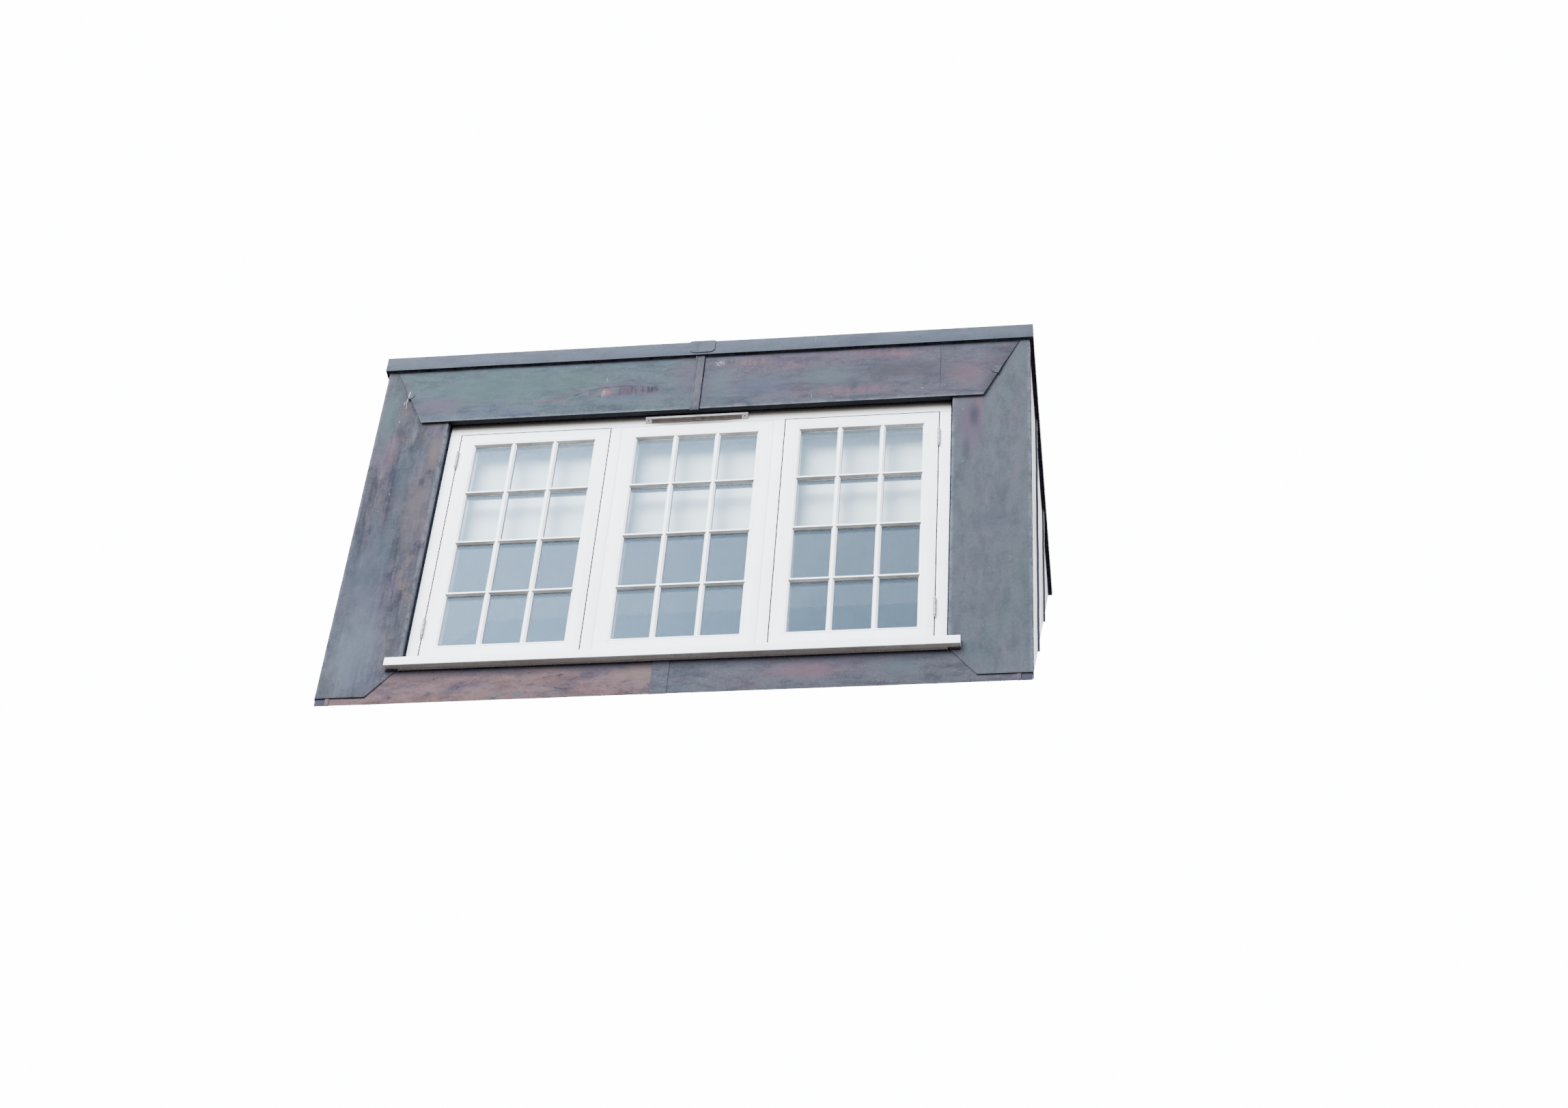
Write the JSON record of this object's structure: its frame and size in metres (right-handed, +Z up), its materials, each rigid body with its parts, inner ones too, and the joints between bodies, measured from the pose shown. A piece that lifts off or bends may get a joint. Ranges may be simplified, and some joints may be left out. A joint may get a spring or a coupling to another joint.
{
  "type": "dormer window",
  "caption": "Flat-roofed dormer clad in lapped lead sheet, with a row of flush white timber casements divided by glazing bars, for a steep pitched roof.",
  "frame": {"origin": "centre of the front base plate's sloped underside, on the plane of the roof slope that the dormer stands on", "axes": "+X along the front to the right as seen from outside, +Y horizontally back into the roof, +Z up; the window faces -Y"},
  "size_m": [2.646, 1.6369, 1.9114],
  "materials": {
    "lead": "weathered dull sheet",
    "lead_cheek": "weathered pale sheet",
    "lead_roof": "weathered dull sheet",
    "carcass_timber": "sawn",
    "board": "plain board",
    "plaster_lining": "matt painted plaster",
    "white_joinery": "satin white paint",
    "window_glass": "clear",
    "hinge_metal": "painted over, lightly worn",
    "vent_plastic": "matt",
    "blind_fabric": "plain weave"
  },
  "bodies": {
    "root": {"jamb_panel_left": "lead", "jamb_panel_right": "lead", "head_panel_left": "lead", "head_panel_right": "lead", "head_joint_cap": "lead", "apron_left": "lead", "apron_right": "lead", "cheek_lead_left": "lead_cheek", "cheek_lead_right": "lead_cheek", "roof_sheet_left": "lead_roof", "roof_sheet_right": "lead_roof", "roll_cap": "lead_roof", "base_plate_front": "carcass_timber", "side_plate_left": "carcass_timber", "side_plate_right": "carcass_timber", "corner_post_left": "carcass_timber", "corner_post_right": "carcass_timber", "window_lintel": "carcass_timber", "edge_joist_left": "carcass_timber", "edge_joist_right": "carcass_timber", "centre_joist": "carcass_timber", "roof_header": "carcass_timber", "roof_roll": "carcass_timber", "drip_fillet": "carcass_timber", "roof_deck": "board", "apron_board": "board", "jamb_board_left": "board", "jamb_board_right": "board", "head_board": "board", "cheek_sheathing_left": "board", "cheek_sheathing_right": "board", "front_lining": "plaster_lining", "cheek_lining_left": "plaster_lining", "cheek_lining_right": "plaster_lining", "ceiling_lining": "plaster_lining", "window_sill": "white_joinery", "frame_head": "white_joinery", "frame_jamb_left": "white_joinery", "frame_jamb_right": "white_joinery", "mullion_left": "white_joinery", "mullion_right": "white_joinery", "casement_left": "white_joinery", "fixed_light": "white_joinery", "casement_right": "white_joinery", "glazing_bead_left": "white_joinery", "glazing_bead_middle": "white_joinery", "glazing_bead_right": "white_joinery", "window_board": "white_joinery", "glass_left": "window_glass", "glass_middle": "window_glass", "glass_right": "window_glass", "hinge_upper_left": "hinge_metal", "hinge_upper_right": "hinge_metal", "hinge_lower_left": "hinge_metal", "hinge_lower_right": "hinge_metal", "trickle_vent": "vent_plastic", "blind_headrail": "vent_plastic", "blind_sheet": "blind_fabric"}
  },
  "joints": []
}
